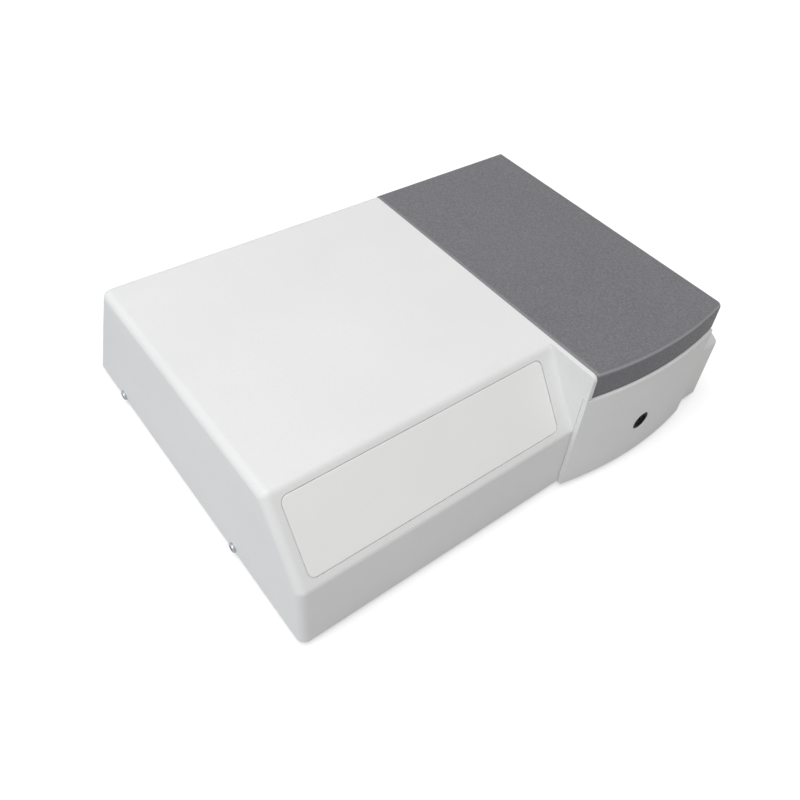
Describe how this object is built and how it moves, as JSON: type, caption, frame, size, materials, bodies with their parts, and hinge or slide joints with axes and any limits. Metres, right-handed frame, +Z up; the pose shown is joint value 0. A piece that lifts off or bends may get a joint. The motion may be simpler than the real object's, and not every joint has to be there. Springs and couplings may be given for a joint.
{
  "type": "benchtop spectrophotometer",
  "caption": "Low benchtop spectrophotometer: sloped white case with a blank label panel and a full-depth grey lid over a sample well with a sliding cell holder.",
  "frame": {"origin": "on the table, under the middle of the instrument's bounding box", "axes": "+X to the user's right, -Y to the front, +Z up"},
  "size_m": [0.4644, 0.364, 0.136],
  "materials": {
    "shell_white": "satin, fine grain",
    "label_white": "matt film",
    "lid_grey": "fine grain",
    "black_plastic": "satin",
    "seal_rubber": "matt",
    "foot_rubber": "matt",
    "zinc_sheet": "zinc plated",
    "steel": "ground",
    "screw_steel": "plated",
    "cast_aluminium": "as cast",
    "black_anodised": "black anodised",
    "lamp_sheet": "bright sheet",
    "window_glass": "polished",
    "filter_glass": "coloured",
    "lamp_glass": "clear",
    "mirror_face": "coated",
    "gear_brass": "machined",
    "motor_steel": "black",
    "board_green": "solder mask",
    "supply_sheet": "zinc plated",
    "coil_tape": "wound tape",
    "pin_metal": "plated"
  },
  "bodies": {
    "body": {"base_pan": "zinc_sheet", "rubber_feet": "foot_rubber", "main_housing": "shell_white", "label_panel": "label_white", "compartment_front": "shell_white", "sample_well": "black_anodised", "well_seal": "seal_rubber", "entry_window": "window_glass", "exit_window": "window_glass", "rod_bushing": "black_plastic", "changer_rails": "steel", "hinge_base_leaves": "steel", "hinge_pins": "steel", "side_screws": "screw_steel", "detector_block": "black_anodised", "detector_board": "board_green", "optical_base": "cast_aluminium", "monochromator_case": "black_anodised", "monochromator_cover": "black_anodised", "entrance_slit": "steel", "exit_slit": "steel", "collimating_mirror": "mirror_face", "focusing_mirror": "mirror_face", "fold_mirror": "mirror_face", "mirror_mounts": "black_anodised", "grating_bearing": "cast_aluminium", "grating_motor": "motor_steel", "lamp_house": "lamp_sheet", "lamp_cover": "lamp_sheet", "mirror_motor": "motor_steel", "halogen_lamp": "lamp_glass", "deuterium_lamp": "lamp_glass", "filter_motor": "motor_steel", "power_supply": "supply_sheet", "transformer": "coil_tape", "main_board": "board_green", "rear_panel": "zinc_sheet", "mains_inlet": "black_plastic", "inlet_pins": "pin_metal", "switch_bezel": "black_plastic", "data_port": "pin_metal", "fan_frame": "black_plastic", "fan_guard": "steel", "rear_screws": "screw_steel"},
    "lid": {"lid_shell": "lid_grey", "lid_liner": "black_plastic", "hinge_lid_leaves": "steel"},
    "changer": {"changer_carriage": "black_anodised", "cell_holder": "black_anodised", "changer_rod": "steel"},
    "grating_stage": {"grating_table": "cast_aluminium", "grating_gear": "gear_brass", "grating": "mirror_face"},
    "drive_pinion": {"motor_pinion": "gear_brass"},
    "filter_disc": {"filter_wheel": "black_anodised", "order_filters": "filter_glass"},
    "mirror_lever": {"mirror_arm": "steel", "source_mirror": "mirror_face"},
    "switch_rocker": {"power_rocker": "black_plastic"},
    "fan_blades": {"fan_rotor": "black_plastic"}
  },
  "joints": [
    {"name": "lid_hinge", "type": "hinge", "parent": "body", "child": "lid", "pos_m": [0.1165, 0.1275, 0.1085], "axis": [-1, 0, 0], "range_deg": [0, 80]},
    {"name": "changer_slide", "type": "slide", "parent": "body", "child": "changer", "axis": [0, -1, 0], "range_m": [0, 0.048]},
    {"name": "grating_turn", "type": "hinge", "parent": "body", "child": "grating_stage", "pos_m": [0, -0.05, 0.056], "axis": [0, 0, 1], "range_deg": [-18, 18]},
    {"name": "pinion_turn", "type": "hinge", "parent": "body", "child": "drive_pinion", "pos_m": [-0.0448, -0.05, 0.052], "axis": [0, 0, 1], "range_deg": [-108, 108]},
    {"name": "filter_wheel_turn", "type": "hinge", "parent": "body", "child": "filter_disc", "pos_m": [-0.011, 0.04, 0.066], "axis": [0, 1, 0], "continuous": true},
    {"name": "source_mirror_swing", "type": "hinge", "parent": "body", "child": "mirror_lever", "pos_m": [-0.016, 0.075, 0.054], "axis": [0, 0, 1], "range_deg": [0, 70]},
    {"name": "power_switch", "type": "hinge", "parent": "body", "child": "switch_rocker", "pos_m": [-0.115, 0.148, 0.03825], "axis": [-1, 0, 0], "range_deg": [0, 16]},
    {"name": "fan_spin", "type": "hinge", "parent": "body", "child": "fan_blades", "pos_m": [0.02, 0.14, 0.03825], "axis": [0, 1, 0], "continuous": true}
  ],
  "couplings": [
    {"joint": "pinion_turn", "follows": "grating_turn", "ratio": -6}
  ]
}
